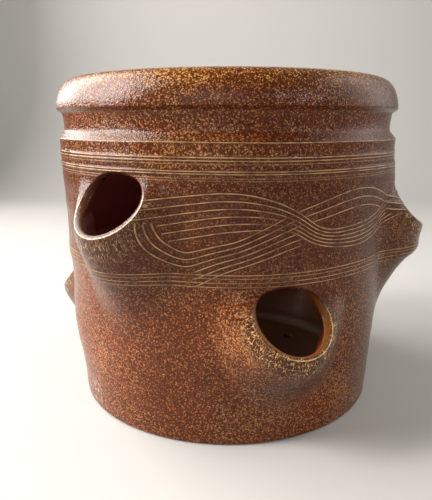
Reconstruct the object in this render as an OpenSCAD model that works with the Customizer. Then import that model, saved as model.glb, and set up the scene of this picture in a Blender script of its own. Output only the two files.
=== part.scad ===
// Strawberry jar planter in salt-glazed stoneware: a thrown cylinder with a heavy rim collar and
// six pockets that are cut and pushed out of the side, in two staggered rows of three.
// Millimetres. The foot stands on z = 0 and the pot's axis is the Z axis. The front faces -Y, and
// directions are counted in degrees from the front, growing towards +X.

/* [Body] */
// Height from the foot to the top of the rim
pot_h = 243; // [195:1:300]
// Outer radius at the shoulder ridge, the widest place of the side
shoulder_r = 129.2; // [106:0.1:160]
// How much smaller the foot's radius is than the shoulder's
foot_inset = 11; // [0:0.5:20]
// How far the side swells out of a straight taper
belly = 0.9; // [0:0.1:4]
// Thickness of the side
wall_t = 7.5; // [5.5:0.1:10]
// Radius of the rounded edge of the foot
foot_round = 2.5; // [1:0.1:5]

/* [Floor] */
// Thickness of the floor
floor_t = 8; // [5:0.5:12]
// Radius of the cove inside, where the floor turns up into the side
cove_r = 6; // [3:0.5:10]
// Radius of the drain hole in the middle
middle_drain_r = 7; // [3:0.5:12]
// Radius of each outer drain hole
outer_drain_r = 4; // [3:0.5:6]
// Distance of the outer drain holes from the middle
drain_ring_r = 84; // [40:1:88]
// Number of outer drain holes
drain_count = 4; // [0:1:8]
// Direction of the first outer drain hole
drain_turn = 132; // [0:1:359]

/* [Neck and rim collar] */
// Height of the neck, from the shoulder ridge up to the collar
neck_h = 19; // [14:0.5:26]
// Height of the neck's narrowest place above the shoulder ridge
neck_drop = 8; // [5:0.5:12]
// Depth of the neck below the shoulder ridge
neck_in = 4.3; // [1:0.1:6]
// How far the neck flares out again under the collar
neck_flare = 1.2; // [0:0.1:3]
// How far the inside leans in from the side up to the collar
bore_lean = 4.2; // [0:0.1:6]
// Height over which the inside leans in, below the collar
lean_h = 39; // [20:1:50]
// Height of the collar
collar_h = 24.5; // [18:0.5:32]
// How far the collar's lower edge stands out past the shoulder ridge
collar_out = 0.6; // [0:0.1:4]
// Height of the collar's sloping underside
collar_under = 3.3; // [1:0.1:6]
// Radius of the collar's rounded lower edge
collar_edge = 1; // [0.5:0.1:2]
// How far the collar's face leans in from the lower edge to the crown of the rim
crown_in = 15; // [10:0.5:18]
// Radius of the rim's inner edge
crown_round = 4.5; // [2:0.5:6]

/* [Pocket mouths] */
// Half width of a mouth
mouth_half_w = 28; // [18:0.5:32]
// Height of a mouth above its widest place
mouth_up = 20; // [12:0.5:24]
// Height of a mouth below its widest place
mouth_down = 19; // [12:0.5:24]
// Height above the widest place at which the edge starts to stand out
flare_start = 15; // [8:0.5:18]
// How gently it starts, from 0, with a crease, to 1
flare_ease = 0.12; // [0.05:0.01:1]
// Thickness of the lip's edge at its tip
lip_t = 3.8; // [2.5:0.1:5]
// How far the lip's rounded edge reaches into the mouth
lip_round = 1.9; // [0.5:0.1:2.4]
// How far the cut edge slants in at the sides of a mouth
mouth_cut = 4; // [0:0.5:6]

/* [Pocket bulges] */
// Width of the bulge at each side of a mouth
bulge_side = 20; // [10:0.5:24]
// Height of the bulge above a mouth
bulge_up = 10; // [5:0.5:11]
// Length of a bulge's underside below the lip, where the side is long enough
bulge_down = 72; // [30:1:85]
// Shape of the underside, lower for a sharper lip
bulge_power = 0.92; // [0.7:0.01:1.2]
// How straight the sides of a mouth go in behind the lip, from 0, as wide as the bulge
flank = 3; // [0:0.1:4]

/* [Pocket rows] */
// Direction of each upper pocket
upper_turn = [-34, 80, 203]; // [-180:0.5:270]
// Depth of each upper mouth's widest place below the shoulder ridge
upper_drop = [37, 45.5, 41]; // [32:0.5:60]
// Reach of each upper lip out of the side
upper_reach = [24.5, 29, 26.5]; // [12:0.5:34]
// Tilt of each upper mouth, positive with its +X end up when it faces the front
upper_tilt = [6, 0, -4]; // [-15:0.5:15]
// Direction of each lower pocket
lower_turn = [17.5, 138, -106.5]; // [-180:0.5:270]
// Height of each lower mouth's widest place above the foot
lower_rise = [92, 88, 84.5]; // [78:0.5:110]
// Reach of each lower lip out of the side
lower_reach = [27, 26, 28.5]; // [12:0.5:34]
// Tilt of each lower mouth, positive with its +X end up when it faces the front
lower_tilt = [-9.5, 4, 1]; // [-15:0.5:15]

/* [Hidden] */

$fn = 96;
around = 48;        // points around a mouth
past = 1;           // how far a cutter runs past what it cuts
land = 2;           // side left between a bulge and the floor's joint
body_step = 8;      // height between the rows of points on the side
neck_steps = 6;     // rows of points on each half of the neck
arc_steps = 6;      // pieces in each rounded edge
face_steps = 12;    // pieces in the collar's face
out_steps = 8;      // rings of the outer face of a pocket
lip_steps = 4;      // rings of its rounded edge
in_steps = 5;       // rings of its inner face
thin_power = 3;     // how soon the lip thickens to the side's thickness

clay = [0.50, 0.25, 0.12];
clay_rim = [0.55, 0.33, 0.15];
clay_pocket = [0.46, 0.29, 0.17];

// Heights, from the foot up
joint_z = floor_t + cove_r;
seat_z = pot_h - collar_h;
ridge_z = seat_z - neck_h;
neck_z = ridge_z + neck_drop;
collar_low_z = seat_z + collar_under;
lean_z = seat_z - lean_h;

// Radii
foot_r = shoulder_r - foot_inset;
neck_r = shoulder_r - neck_in;
collar_r = shoulder_r + collar_out;
crown_r = collar_r - crown_in;

// Pockets, each as [direction, height of the mouth's widest place, reach, tilt]
upper = [for (i = [0:2]) [upper_turn[i], ridge_z - upper_drop[i], upper_reach[i], upper_tilt[i]]];
lower = [for (i = [0:2]) [lower_turn[i], lower_rise[i], lower_reach[i], lower_tilt[i]]];

function ease(x) = x <= 0 ? 0 : x >= 1 ? 1 : x * x * (3 - 2 * x);
function arc(r, z, size, from, to) =
    [for (i = [0:arc_steps])
        let (a = from + (to - from) * i / arc_steps) [r + size * cos(a), z + size * sin(a)]];

// Outside radius of the tapering side at height z
function taper(z) =
    let (x = (z - foot_round) / (ridge_z - foot_round))
    foot_r + (shoulder_r - foot_r) * x + belly * 4 * x * (1 - x);

// Outside radius at height z, from the foot's rounded edge up to the collar
function outside(z) =
    z <= ridge_z ? taper(z)
    : z <= neck_z ? neck_r + neck_in * (1 + cos(180 * (z - ridge_z) / neck_drop)) / 2
    : neck_r + neck_flare * pow((z - neck_z) / (seat_z - neck_z), 2);

// Inside radius at height z
function inside(z) = taper(min(z, ridge_z)) - wall_t - bore_lean * ease((z - lean_z) / lean_h);

// Heights of the rows of points on the side, which every piece shares
body_rows = ceil((ridge_z - joint_z) / body_step);
rows = concat(
    [for (i = [0:body_rows - 1]) joint_z + (ridge_z - joint_z) * i / body_rows],
    [for (i = [0:neck_steps - 1]) ridge_z + neck_drop * i / neck_steps],
    [for (i = [0:neck_steps]) neck_z + (seat_z - neck_z) * i / neck_steps]
);
outside_rows = [for (z = rows) [z, outside(z)]];
inside_rows = [for (z = rows) [z, inside(z)]];

// A pocket's points are [s, z, d]: sideways, up, and out of the pot's axis.
// Distance out of the axis of a surface of revolution, straight out of the pocket's middle
function face_d(table, s, z) = sqrt(pow(lookup(z, table), 2) - s * s);

// How far round the mouth's edge has flared out at angle a, from 0 to 1 at the tip
function flare(a) =
    let (y = sin(a) * (sin(a) > 0 ? mouth_up : mouth_down))
    let (x = max(0, flare_start - y) / (flare_start + mouth_down))
    x * x * (1 + flare_ease) / (x + flare_ease);

// Mouth's edge at angle a, as [s, z] about the middle of the mouth
function mouth_edge(p, a) =
    let (x = mouth_half_w * cos(a), y = (sin(a) > 0 ? mouth_up : mouth_down) * sin(a))
    [x * cos(p[3]) - y * sin(p[3]), x * sin(p[3]) + y * cos(p[3])];

// Length of the underside: it ends on the side above the floor's joint
function underside(p) = min(bulge_down, p[1] - mouth_down - joint_z - land);

// Edge of the bulge at angle a, as [s, z] about the middle of the mouth
function bulge_edge(p, a) = [
    (mouth_half_w + bulge_side) * cos(a),
    (sin(a) > 0 ? mouth_up + bulge_up : mouth_down + underside(p)) * sin(a)
];

// Point between the mouth, at t = 0, and the bulge's edge, at t = 1
function between(p, a, t) = (1 - t) * mouth_edge(p, a) + t * bulge_edge(p, a) + [0, p[1]];
function push(p, a, t) = p[2] * flare(a) * pow(cos(90 * pow(t, bulge_power)), 2);
function thinning(a, t) = (wall_t - lip_t) * flare(a) * pow(1 - t, thin_power);

function outer_point(p, a, t) =
    let (q = between(p, a, t))
    [q[0], q[1], face_d(outside_rows, q[0], q[1]) + push(p, a, t)];
function inner_point(p, a, t) =
    let (m = mouth_edge(p, a), into = mouth_cut * pow(cos(a), 2) * pow(1 - t, 4) / norm(m))
    let (q = between(p, a, pow(t, 1 + flank * pow(cos(a), 2))) - into * m)
    [q[0], q[1], face_d(inside_rows, q[0], q[1]) + push(p, a, t) + thinning(a, t)];

// Point on the rounded edge, at turn b from the outer face, 0, to the inner face, 180
function lip_point(p, a, b) =
    let (o = outer_point(p, a, 0), i = inner_point(p, a, 0), m = mouth_edge(p, a))
    let (into = -lip_round * sin(b) / norm(m))
    (o + i) / 2 + (o - i) / 2 * cos(b) + [into * m[0], into * m[1], 0];

// Rings of points: up the outer face to the mouth, over the lip, and down the inner face
function pocket_rings(p) = concat(
    [for (i = [0:out_steps])
        [for (k = [0:around - 1]) outer_point(p, 360 * k / around, pow(1 - i / out_steps, 1.4))]],
    [for (i = [1:lip_steps - 1])
        [for (k = [0:around - 1]) lip_point(p, 360 * k / around, 180 * i / lip_steps)]],
    [for (i = [0:in_steps])
        [for (k = [0:around - 1]) inner_point(p, 360 * k / around, pow(i / in_steps, 1.4))]]
);

module pocket(p) {
    rings = pocket_rings(p);
    count = len(rings);
    points = [for (ring = rings) for (q = ring) [q[0], -q[2], q[1]]];
    faces = [
        for (i = [0:count - 1]) for (k = [0:around - 1])
            let (j = (i + 1) % count, n = (k + 1) % around)
            for (f = [
                [i * around + k, j * around + k, j * around + n],
                [i * around + k, j * around + n, i * around + n]
            ]) f
    ];
    color(clay_pocket) rotate([0, 0, p[0]]) polyhedron(points, faces);
}

// The hole that a pocket fills in the side
module pocket_hole(p) {
    outline = [for (k = [0:around - 1]) bulge_edge(p, 360 * k / around) + [0, p[1]]];
    rotate([0, 0, p[0]]) rotate([90, 0, 0])
        translate([0, 0, shoulder_r / 2]) linear_extrude(shoulder_r) polygon(outline);
}

module wall() {
    color(clay) difference() {
        rotate_extrude() polygon(concat(
            [for (q = outside_rows) [q[1], q[0]]],
            [for (i = [len(rows) - 1:-1:0]) [inside_rows[i][1], rows[i]]]
        ));
        for (p = concat(upper, lower)) pocket_hole(p);
    }
}

module floor() {
    low_r = outside(foot_round);
    color(clay) difference() {
        rotate_extrude() polygon(concat(
            [[0, 0]],
            arc(low_r - foot_round, foot_round, foot_round, -90, 0),
            [[outside(joint_z), joint_z]],
            arc(inside(joint_z) - cove_r, joint_z, cove_r, 0, -90),
            [[0, floor_t]]
        ));
        drain(0, 0, middle_drain_r);
        for (i = [0:1:drain_count - 1])
            drain(drain_turn + 360 * i / drain_count, drain_ring_r, outer_drain_r);
    }
}

module drain(turn, out, r) {
    rotate([0, 0, turn]) translate([0, -out, -past]) cylinder(h = floor_t + 2 * past, r = r);
}

// The collar's face is a quarter of an ellipse that ends on the crown of the rim
module rim_collar() {
    color(clay_rim) rotate_extrude() polygon(concat(
        [[outside(seat_z), seat_z]],
        arc(collar_r - collar_edge, collar_low_z, collar_edge, -50, 0),
        [for (i = [1:face_steps])
            let (a = 90 * i / face_steps)
            [crown_r + crown_in * cos(a), collar_low_z + (pot_h - collar_low_z) * sin(a)]],
        arc(crown_r, pot_h - crown_round, crown_round, 90, 180),
        [[inside(seat_z), seat_z]]
    ));
}

floor();
wall();
rim_collar();
pocket(upper[0]);  // pocket_upper_front_left
pocket(upper[1]);  // pocket_upper_right
pocket(upper[2]);  // pocket_upper_back
pocket(lower[0]);  // pocket_lower_front
pocket(lower[1]);  // pocket_lower_back
pocket(lower[2]);  // pocket_lower_left
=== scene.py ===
"""Strawberry jar planter in salt-glazed stoneware: the fired pot's surface, glaze and combing.

The pot's own sizes below are in millimetres, as in the part's source, and the meshes are in metres.
Directions are counted in degrees from the front, -Y, growing towards +X.
"""
from collections import namedtuple

import bmesh
import bpy
import numpy as np
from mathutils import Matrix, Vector, geometry


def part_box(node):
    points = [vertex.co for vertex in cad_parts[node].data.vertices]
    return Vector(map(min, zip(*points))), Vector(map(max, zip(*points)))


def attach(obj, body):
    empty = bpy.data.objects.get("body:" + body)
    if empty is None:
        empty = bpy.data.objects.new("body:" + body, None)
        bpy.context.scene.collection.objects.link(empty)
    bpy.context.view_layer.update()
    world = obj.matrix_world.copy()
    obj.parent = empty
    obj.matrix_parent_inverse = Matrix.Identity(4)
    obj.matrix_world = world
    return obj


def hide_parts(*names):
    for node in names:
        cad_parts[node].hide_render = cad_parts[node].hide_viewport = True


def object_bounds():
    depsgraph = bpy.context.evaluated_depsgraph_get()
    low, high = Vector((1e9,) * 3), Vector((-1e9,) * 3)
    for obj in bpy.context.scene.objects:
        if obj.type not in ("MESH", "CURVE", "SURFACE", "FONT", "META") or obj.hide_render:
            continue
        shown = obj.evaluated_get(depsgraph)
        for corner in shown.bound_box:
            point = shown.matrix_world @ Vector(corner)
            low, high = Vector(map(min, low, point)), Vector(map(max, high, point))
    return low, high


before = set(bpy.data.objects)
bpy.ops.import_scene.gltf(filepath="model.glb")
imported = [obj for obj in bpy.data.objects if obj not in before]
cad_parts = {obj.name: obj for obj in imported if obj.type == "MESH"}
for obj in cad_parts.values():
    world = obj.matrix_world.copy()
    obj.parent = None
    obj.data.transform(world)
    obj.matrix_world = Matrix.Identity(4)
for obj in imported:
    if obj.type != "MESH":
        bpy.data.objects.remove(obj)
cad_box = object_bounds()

MM = 0.001
FULL = 2 * np.pi

# ---------------------------------------------------------------- sizes of the pot
POT_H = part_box("rim_collar")[1].z / MM
SEAT_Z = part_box("rim_collar")[0].z / MM     # where the collar sits on the neck
JOINT_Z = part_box("floor")[1].z / MM         # where the side stands on the floor
SHOULDER_R = 129.2
FOOT_R = 118.2
FOOT_ROUND = 2.5
BELLY = 0.9                 # how far the side stands out past a straight taper
WALL_T = 7.5
NECK_H = 19.0
NECK_DROP = 8.0             # height over which the side draws in above the ridge
NECK_IN = 4.3
NECK_FLARE = 1.2
BORE_LEAN = 4.2             # how far the inside leans in towards the collar
LEAN_H = 39.0
RIDGE_Z = SEAT_Z - NECK_H
NECK_Z = RIDGE_Z + NECK_DROP
NECK_R = SHOULDER_R - NECK_IN

COLLAR_R = 129.8
COLLAR_LOW_Z = SEAT_Z + 3.3
COLLAR_EDGE = 1.0
UNDERCUT = 50.0             # degrees that the collar's lower edge turns under
CROWN_IN = 15.0
CROWN_R = COLLAR_R - CROWN_IN
CROWN_ROUND = 4.5

FLOOR_T = 8.0
COVE_R = JOINT_Z - FLOOR_T
MIDDLE_DRAIN_R = 7.0
OUTER_DRAIN_R = 4.0
DRAIN_RING_R = 84.0
DRAIN_TURNS = [132, 222, 312, 42]
DRAIN_ROUND = 0.8           # of a drain's lower edge
DRAIN_TOP_ROUND = 1.2

MOUTH_HALF_W = 28.0
MOUTH_UP = 20.0
MOUTH_DOWN = 19.0
FLARE_START = 15.0          # height over a mouth's middle at which its lip starts to stand out
FLARE_EASE = 0.12
LIP_T = 3.8
LIP_ROUND = 1.9
MOUTH_CUT = 4.0             # how far in a mouth's inner edge lies from its outer edge, at its sides
BULGE_SIDE = 20.0
BULGE_UP = 10.0
BULGE_DOWN = 72.0
BULGE_POWER = 0.92
BULGE_LAND = 2.0            # side left between a bulge and the floor's joint
FLANK = 3.0

# Direction, height of the mouth's middle, reach, tilt, and how bare of glaze the lip is
Pocket = namedtuple("Pocket", "turn z reach tilt bare")
POCKETS = {
    "pocket_upper_front_left": Pocket(-34.0, RIDGE_Z - 37.0, 24.5, 6.0, 1.0),
    "pocket_upper_right": Pocket(80.0, RIDGE_Z - 45.5, 29.0, 0.0, 0.6),
    "pocket_upper_back": Pocket(203.0, RIDGE_Z - 41.0, 26.5, -4.0, 0.7),
    "pocket_lower_front": Pocket(17.5, 92.0, 27.0, -9.5, 0.15),
    "pocket_lower_back": Pocket(138.0, 88.0, 26.0, 4.0, 0.3),
    "pocket_lower_left": Pocket(-106.5, 84.5, 28.5, 1.0, 0.5),
}

# ---------------------------------------------------------------- what the hand left on the pot
# Soft hills on the side: direction, height, half width in degrees, half height, size
SWELLS = [(82, 170, 24, 15, 3.8), (84, 117, 18, 6.5, 4.0), (84, 80, 16, 14, 1.5),
          (-70, 62, 15, 24, 3.2), (-72, 118, 16, 12, 1.2)]
# Waves round the pot: size, number of waves, phase, and height over which the wave turns a radian
OUT_OF_ROUND = [(0.25, 2, 0.6, np.inf), (0.18, 3, -1.1, 60)]
RING_WANDER = [(0.35, 1, 0.5, np.inf), (0.2, 3, 1.0, np.inf), (0.12, 7, 0, np.inf)]
THROWN_OUTSIDE = [(0.10, 1, 0, 2.9), (0.12, -1, 1, 7.3)]
THROWN_INSIDE = [(0.45, 1, 0, 1.9), (0.3, 0, 0, 4.1)]

# Lines that were drawn on the turning pot: height, strength. The pale line at 200.6 paints the shoulder
# ridge's highlight
RINGS = [(200.6, 0.8), (192.1, 1.0), (190.2, 0.9), (188.3, 0.35), (184.1, 0.9), (182.6, 1.0),
         (180.0, 0.35), (178.6, 0.3), (121.2, 0.9), (119.0, 0.6), (116.2, 0.8), (113.5, 0.8)]
RING_HALF = 0.75            # half width of a drawn line
TOOTH_HALF = 0.85           # half width of a combed ridge
RIDGE_H = 0.45              # height of either
GROOVE_SHARE = 0.45         # how much of a combed ridge's height lies under the side

# The comb, and the two strokes that are repeated round the pot
PITCH = 5.0                 # between its teeth
TEETH = 6
ARC = 126.0 * np.pi / 180   # mm along the side for each degree round it
REPEAT = 120.0              # degrees
PLAIN_SIDE = (272.0, 334.0)     # directions between which the side isn't combed
# Middle of each stroke, as (degrees, height, how wide the comb goes when it is turned)
STROKE_A = [(-22.3, 156, 0.6), (-22.4, 149, 0.7), (-21.3, 136, 0.86), (-16.9, 125.6, 0.93),
            (-12, 123.5, 0.9), (-8, 126.5, 0.8), (-2.6, 130.8, 0.7), (2.8, 134, 0.65), (8.3, 138.7, 0.7),
            (13.9, 143.8, 0.75), (19.7, 148.6, 0.85), (26, 151, 1), (33, 154, 1.12), (40, 156.5, 1.15),
            (47, 156.5, 1.1), (54, 153.5, 1), (61, 150, 0.9), (68, 148, 0.85), (76, 148, 0.8),
            (86, 149, 0.8)]
STROKE_B = [(-26, 152.6, 1.05), (-19, 154.2, 1.05), (-10.4, 157, 1), (-2.7, 159.4, 0.95),
            (5.3, 159.4, 0.85), (13.6, 156.5, 0.62), (19.6, 151.2, 0.46), (23.6, 145.5, 0.43),
            (27.5, 142.2, 0.43), (32.1, 140.6, 0.46), (38.4, 140.4, 0.54), (43.4, 140.9, 0.58),
            (49.3, 142.8, 0.58), (57.4, 148.2, 0.56), (63, 154.5, 0.56), (68, 161, 0.6), (73, 166, 0.65),
            (79, 169, 0.7)]
HOOK_END = -8.0             # where stroke A's hook over stroke B ends
UNDER = (6.0, 21.0)         # where stroke B's lower lines run under stroke A
CROSSED = (17.0, 64.0)      # where only stroke A's upper lines show
LEAD = 8.0                  # degrees before a stroke's first point that are still counted as its own
COMB_Z = (96.0, 196.0)      # heights between which a comb can reach
FAR = 20.0                  # offset of what no comb reaches
END_FADE = 4.0              # mm over which a comb lifts off past a stroke's end
COMB_IN = 30                # points of a path over which the comb goes in
COMB_OUT = 60               # and over which it comes out

# ---------------------------------------------------------------- where the kiln coloured the glaze, and where light and shade are painted into it
# Soft hills, as above, with sizes as shares
# Orange flashing, and painted light: the hills at -58 and -14 degrees, on the left, paint the light that
# falls from that side
ORANGE_FLASH_AND_LIGHT_SPOTS = [(-58, 60, 24, 48, 1.0), (-5, 85, 14, 30, 0.6), (160, 120, 50, 60, 0.5),
                (1, 78, 9, 16, 0.45), (-14, 148, 13, 22, 0.5), (33, 22, 16, 18, 0.4),
                (72, 148, 14, 22, 0.6)]
GOLD_SPOTS = [(4, 80, 6, 15, 0.6), (-12, 190, 30, 10, 0.5), (150, 60, 30, 25, 0.5)]
# Grey-purple under each pocket and on the right: ash flashing, with painted shade under the pockets and on
# the side away from the light
GREY_AND_SHADE_SPOTS = [(p.turn + 3, p.z - 42, 15, 17, 1.0) for p in POCKETS.values()]
SCUFFS = [(-57, 14, 5, 9, 1.0)]
ORANGE_FOOT = 0.25
GOLD_CROWN = 0.9
GREY_AND_SHADE_SIDE = 0.6
GREY_AND_SHADE_TURNS = (40, 140)      # directions between which the side is greyer, with painted shade on the side away from the light
GLAZED_IN = 6.0             # how far the outer glaze reaches in past a lip
STREAKED_OUT = 12.0         # distance from a lip over which its streaks die away outside
STREAKED_IN = 7.0           # and inside
POOL_AND_SHADE_REACH = 5.0            # distance over which the dark red over a mouth, pooled glaze and painted shade, dies away
WIPED = 13.0                # how far below a lip the fingers smoothed the side

# ---------------------------------------------------------------- fineness of the meshes
COLUMNS = 624               # round the outside
LINER_COLUMNS = 156         # round the inside
# Heights at which runs of rows start on the outside, and the height of each run's rows
ROWS = [(JOINT_Z, 1.9), (104.0, 1.15), (186.0, 1.15), (RIDGE_Z, 1.0), (NECK_Z, 1.2)]
COARSE = 6.0                # height of a row inside
STRIP = 24.5                # half width in degrees of the strip of side that a pocket stands in
MARGIN = 2.5                # side left above and below a pocket in its strip
STRIP_STEPS = 20            # rings of points from a strip's edge to its pocket
POCKET_ROWS = 58
CUP_ROWS = 18
LIP_ROWS = 10
CROWN_STEPS = 8
BORE_STEPS = 10
DRAIN_CORNERS = 48
PATH_STEPS = 40             # points of a stroke's path for each one that is given
SMOOTHING = 31              # points that are averaged along a stroke's path
AT_ONCE = 4000              # points that are measured from a path in one go
WELD = 500                  # two points are one where they round to the same 1/WELD mm


# ---------------------------------------------------------------- the pot's surface
def ease(x):
    """x held between 0 and 1, with a soft start and end."""
    x = np.clip(x, 0, 1)
    return x * x * (3 - 2 * x)


def hills(turn, z, spots):
    """The sum of soft hills on the side, listed as in SWELLS."""
    total = np.zeros(np.broadcast(turn, z).shape)
    for middle_turn, middle_z, wide, high, size in spots:
        away = (turn - middle_turn + 180) % 360 - 180
        total += size * np.exp(-((away / wide) ** 2 + ((z - middle_z) / high) ** 2))
    return total


def waves(turn, z, kinds):
    """The sum of waves round the pot, listed as in OUT_OF_ROUND."""
    return sum(size * np.sin(count * np.radians(turn) + phase + z / length)
               for size, count, phase, length in kinds)


def taper(z):
    """Radius of the outside up to the ridge."""
    x = (z - FOOT_ROUND) / (RIDGE_Z - FOOT_ROUND)
    return FOOT_R + (SHOULDER_R - FOOT_R) * x + BELLY * 4 * x * (1 - x)


def outside(z):
    """Radius of the outside up to the collar, with the neck."""
    z = np.asarray(z, float)
    neck = NECK_R + NECK_IN * (1 + np.cos(np.pi * (z - RIDGE_Z) / NECK_DROP)) / 2
    above = NECK_R + NECK_FLARE * ((z - NECK_Z) / (SEAT_Z - NECK_Z)) ** 2
    return np.where(z <= RIDGE_Z, taper(z), np.where(z <= NECK_Z, neck, above))


def inside(z):
    """Radius of the inside up to the collar."""
    z = np.asarray(z, float)
    return taper(np.minimum(z, RIDGE_Z)) - WALL_T - BORE_LEAN * ease((z - SEAT_Z + LEAN_H) / LEAN_H)


def swell(turn, z):
    """How far the thrown side stands out past a true taper, by hand."""
    out = hills(turn, z, SWELLS) + waves(turn, z, OUT_OF_ROUND)
    foot, ridge = z / 30, (RIDGE_Z + 6 - z) / 12
    return out * ease(foot) * ease(ridge)


def mouth_size(a):
    """Height of a mouth's upper or lower half, at angle a round it."""
    return np.where(np.sin(a) > 0, MOUTH_UP, MOUTH_DOWN)


def flare(a):
    """Share of a pocket's reach at angle a round its lip: none at the top, all of it at the bottom."""
    x = np.maximum(0, FLARE_START - np.sin(a) * mouth_size(a)) / (FLARE_START + MOUTH_DOWN)
    return x * x * (1 + FLARE_EASE) / (x + FLARE_EASE)


def mouth_edge(p, a):
    """Where a mouth's edge is, sideways and up from the mouth's middle."""
    x, y = MOUTH_HALF_W * np.cos(a), mouth_size(a) * np.sin(a)
    tilt = np.radians(p.tilt)
    return x * np.cos(tilt) - y * np.sin(tilt), x * np.sin(tilt) + y * np.cos(tilt)


def bulge_below(p):
    """How far a pocket's bulge reaches down from the mouth's middle."""
    return MOUTH_DOWN + min(BULGE_DOWN, p.z - MOUTH_DOWN - JOINT_Z - BULGE_LAND)


def bulge_edge(p, a):
    """Where a pocket's bulge runs out into the side, measured as its mouth's edge is."""
    high = np.where(np.sin(a) > 0, MOUTH_UP + BULGE_UP, bulge_below(p))
    return (MOUTH_HALF_W + BULGE_SIDE) * np.cos(a), high * np.sin(a)


def face(radius, s, z):
    """Distance of a round face from the axis, straight out of a pocket's middle."""
    return np.sqrt(radius(z) ** 2 - s * s)


def push(p, a, t):
    """How far a pocket stands out of the side."""
    return p.reach * flare(a) * np.cos(np.pi / 2 * t ** BULGE_POWER) ** 2


def pocket_point(p, a, t, liner):
    """A pocket's surface at angle a round it, from the mouth, t = 0, to the side, t = 1."""
    (ms, mz), (bs, bz) = mouth_edge(p, a), bulge_edge(p, a)
    w = t ** (1 + FLANK * np.cos(a) ** 2) if liner else t
    s, z = (1 - w) * ms + w * bs, (1 - w) * mz + w * bz + p.z
    out = push(p, a, t)
    if liner:
        into = MOUTH_CUT * np.cos(a) ** 2 * (1 - t) ** 4 / np.hypot(ms, mz)
        s, z = s - into * ms, z - into * mz
        return s, z, face(inside, s, z) + out + (WALL_T - LIP_T) * flare(a) * (1 - t) ** 3
    return s, z, face(outside, s, z) + out


# ---------------------------------------------------------------- meshes
class Shell:
    """The points and faces of one piece, with what the glaze needs to know at each point."""

    # Direction and height on the pot; shares of inner glaze, of nearness to a lip and to the brow over
    # a mouth, whose dark red is pooled glaze and painted shade, and of smoothing; mm along a lip and away
    # from it; how bare of glaze a pocket's lip is, and how strong the pale line along it is, pale clay with
    # a painted highlight
    FACTS = ("turn", "height", "liner", "lip", "brow", "smoothed", "around", "away", "bare", "edged")

    def __init__(self, name, slot):
        self.name, self.slot = name, slot
        self.points, self.facts = [], {k: [] for k in self.FACTS}
        self.faces, self.hidden = [], []
        self.count = 0

    def add(self, x, y, z, **facts):
        """Adds a block of points and returns their numbers, in the block's own shape."""
        x, y, z = np.broadcast_arrays(x, y, z)
        self.points.append(np.stack([x.ravel(), y.ravel(), z.ravel()], 1))
        for k in self.FACTS:
            self.facts[k].append(np.broadcast_to(facts.get(k, 0.0), x.shape).ravel().astype(float))
        numbers = np.arange(self.count, self.count + x.size).reshape(x.shape)
        self.count += x.size
        return numbers

    def add_round(self, turn, z, radius, **facts):
        """Adds points of a face of revolution, swollen as the side is."""
        turn, z, radius = np.broadcast_arrays(turn, z, radius)
        r = radius + swell(turn, z)
        a = np.radians(turn)
        return self.add(r * np.sin(a), -r * np.cos(a), z, turn=turn, height=z, **facts)

    def add_pocket(self, p, point, liner=0, **facts):
        """Adds points of a pocket, given sideways, up and out of the axis."""
        s, z, d = point
        a, radius = np.radians(p.turn), inside if liner else outside
        turn = p.turn + np.degrees(np.arcsin(np.clip(s / radius(z), -1, 1)))
        out, b = swell(turn, z), np.radians(turn)
        x = d * np.sin(a) + s * np.cos(a) + out * np.sin(b)
        y = -d * np.cos(a) + s * np.sin(a) - out * np.cos(b)
        return self.add(x, y, z, turn=turn, height=z, liner=liner, bare=p.bare, **facts)

    def quads(self, n, hidden=False):
        """Faces of a grid of points, whose rows close into rings."""
        n = np.concatenate([n, n[:, :1]], 1)
        block = np.stack([n[:-1, :-1], n[:-1, 1:], n[1:, 1:], n[1:, :-1]], -1).reshape(-1, 4)
        (self.hidden if hidden else self.faces).append(block)

    def bridge(self, ring_a, at_a, ring_b, at_b):
        """Hidden triangles between two rings of unlike numbers of points, placed by their own turn."""
        turn_a, turn_b = np.argsort(at_a), np.argsort(at_b)
        ring_a, at_a = ring_a[turn_a], at_a[turn_a]
        ring_b, at_b = ring_b[turn_b], at_b[turn_b]
        next_a = np.concatenate([at_a[1:], [at_a[0] + FULL, np.inf]])
        next_b = np.concatenate([at_b[1:], [at_b[0] + FULL, np.inf]])
        i, j, out = 0, 0, []
        while i < len(ring_a) or j < len(ring_b):
            a, b = ring_a[i % len(ring_a)], ring_b[j % len(ring_b)]
            if next_a[i] <= next_b[j]:
                i += 1
                out.append((a, ring_a[i % len(ring_a)], b))
            else:
                j += 1
                out.append((a, ring_b[j % len(ring_b)], b))
        self.hidden.append(np.array(out))


def heights():
    """Rows up the outside, from the floor's joint to the collar's seat."""
    tops = [z for z, _ in ROWS[1:]] + [SEAT_Z]
    rows = [np.linspace(low, high, int(np.ceil((high - low) / step)) + 1)[:-1]
            for (low, step), high in zip(ROWS, tops)]
    return np.concatenate(rows + [[SEAT_Z]])


def strip(p, z, columns):
    """Rows low to high and columns first to last of the strip of side that a pocket stands in."""
    low = max(0, np.searchsorted(z, p.z - bulge_below(p) - MARGIN) - 1)
    high = np.searchsorted(z, p.z + MOUTH_UP + BULGE_UP + MARGIN)
    first = int(np.floor((p.turn - STRIP) * columns / 360))
    last = int(np.ceil((p.turn + STRIP) * columns / 360))
    return low, high, first, last


def strip_edge(low, high, first, last):
    """Row and column of each point on a strip's edge, anticlockwise from its lower left corner."""
    row = np.concatenate([np.full(last - first, low), np.arange(low, high),
                          np.full(last - first, high), np.arange(high, low, -1)])
    col = np.concatenate([np.arange(first, last), np.full(high - low, last),
                          np.arange(last, first, -1), np.full(high - low, first)])
    return row, col


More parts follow.
